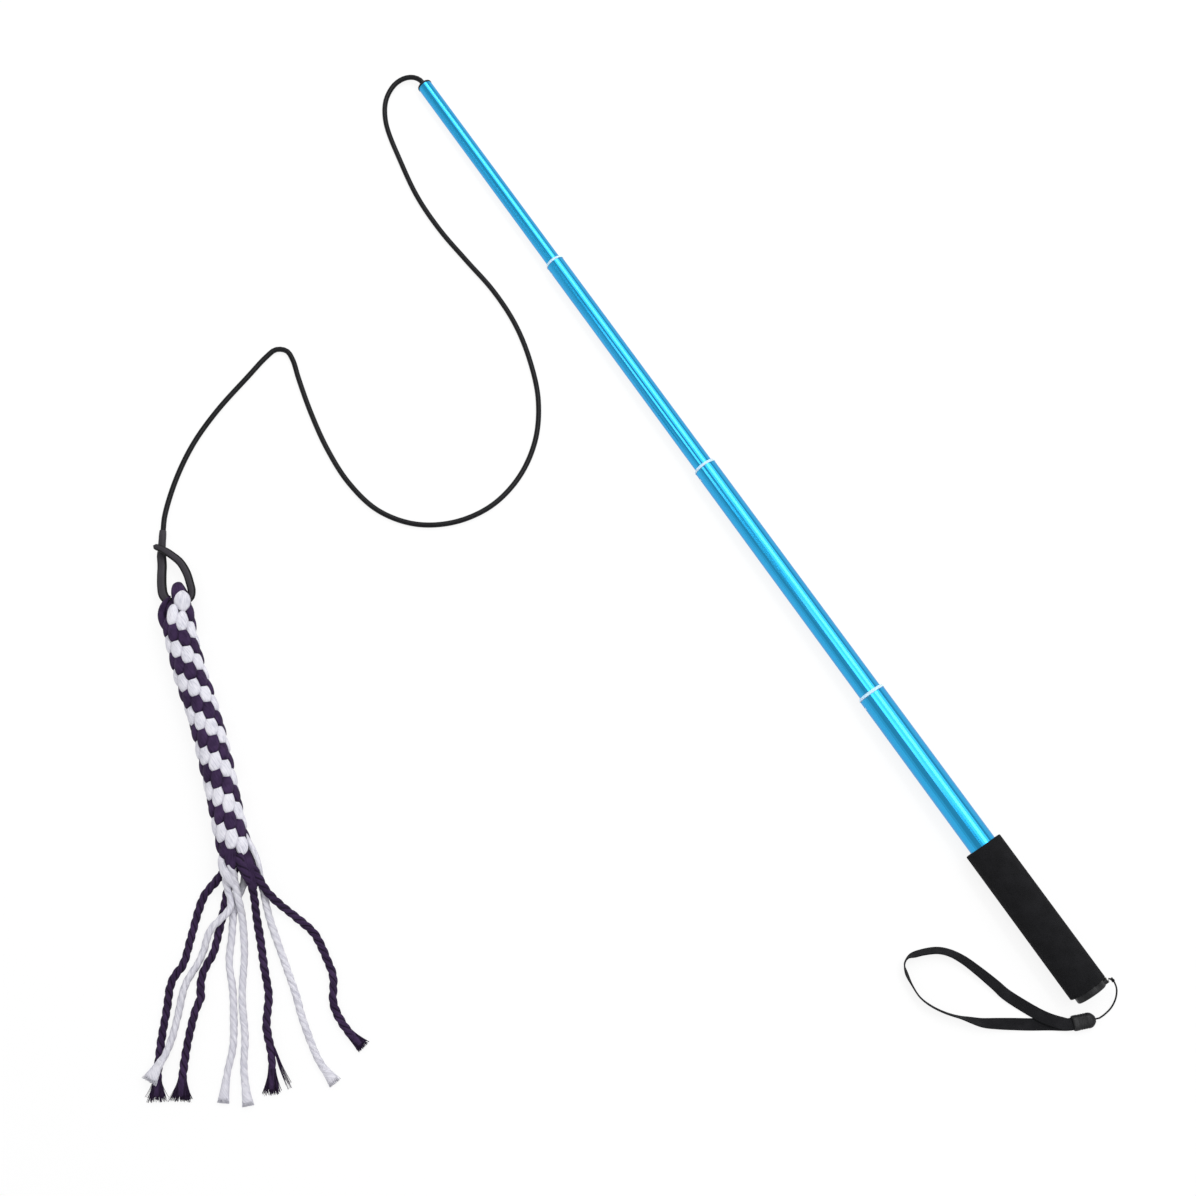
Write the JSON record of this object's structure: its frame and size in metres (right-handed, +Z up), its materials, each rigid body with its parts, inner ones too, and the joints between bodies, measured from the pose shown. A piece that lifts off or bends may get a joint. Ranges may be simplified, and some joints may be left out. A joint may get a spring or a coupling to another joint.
{
  "type": "dog chase toy",
  "caption": "Telescopic dog chase pole with foam grip and wrist strap, and a long cord that ends in a braided rope toy with loose ends.",
  "frame": {"origin": "bottom centre of the box round the pole, braid and fittings, on the surface they lie on", "axes": "+X along the pole from its tip to the end of the handle, +Y away from the toy, +Z up"},
  "size_m": [0.8863, 0.584, 0.0295],
  "materials": {
    "anodised_tube": "light blue anodised",
    "white_plastic": "white nylon",
    "sleeve_plastic": "plain",
    "black_plastic": "moulded black",
    "crimp_metal": "plain",
    "grip_foam": "matt closed-cell foam",
    "black_cord": "satin",
    "strap_webbing": "woven",
    "white_rope": "twisted cotton",
    "purple_rope": "twisted cotton"
  },
  "bodies": {
    "handle": {"handle_tube": "anodised_tube", "mouth_collar_3": "white_plastic", "foam_grip": "grip_foam", "end_cap": "black_plastic", "strap_eyelet": "crimp_metal"},
    "third_section": {"third_tube": "anodised_tube", "mouth_collar_2": "white_plastic", "friction_sleeve_3": "sleeve_plastic"},
    "second_section": {"second_tube": "anodised_tube", "mouth_collar_1": "white_plastic", "friction_sleeve_2": "sleeve_plastic"},
    "tip_section": {"tip_tube": "anodised_tube", "friction_sleeve_1": "sleeve_plastic", "tip_plug": "black_plastic", "cord_stop": "crimp_metal", "cord": "black_cord", "cord_sleeve": "black_cord", "cord_eye": "black_cord"},
    "rope_toy": {"toy_loop": "purple_rope", "toy_braid": "white_rope", "rope_end_white_1": "white_rope", "rope_end_white_2": "white_rope", "rope_end_white_3": "white_rope", "rope_end_white_4": "white_rope", "rope_end_purple_1": "purple_rope", "rope_end_purple_2": "purple_rope", "rope_end_purple_3": "purple_rope", "rope_end_purple_4": "purple_rope"},
    "wrist_strap": {"strap_thin_cord": "black_cord", "strap_bead": "black_plastic", "wrist_webbing": "strap_webbing"}
  },
  "joints": [
    {"name": "third_slide", "type": "slide", "parent": "handle", "child": "third_section", "axis": [0.9999, 0, 0.0111], "range_m": [0, 0.2047]},
    {"name": "second_slide", "type": "slide", "parent": "third_section", "child": "second_section", "axis": [0.9999, 0, 0.0111], "range_m": [0, 0.1995]},
    {"name": "tip_slide", "type": "slide", "parent": "second_section", "child": "tip_section", "axis": [0.9999, 0, 0.0111], "range_m": [0, 0.1857]},
    {"name": "toy_lift", "type": "hinge", "parent": "tip_section", "child": "rope_toy", "pos_m": [-0.1605, -0.1605, 0.0091], "axis": [-0.3, -0.9539, 0], "range_deg": [0, 90]},
    {"name": "strap_swing", "type": "hinge", "parent": "handle", "child": "wrist_strap", "pos_m": [0.42255, 0.2292, 0.01542], "axis": [0, 0, 1], "range_deg": [-10, 85]}
  ]
}
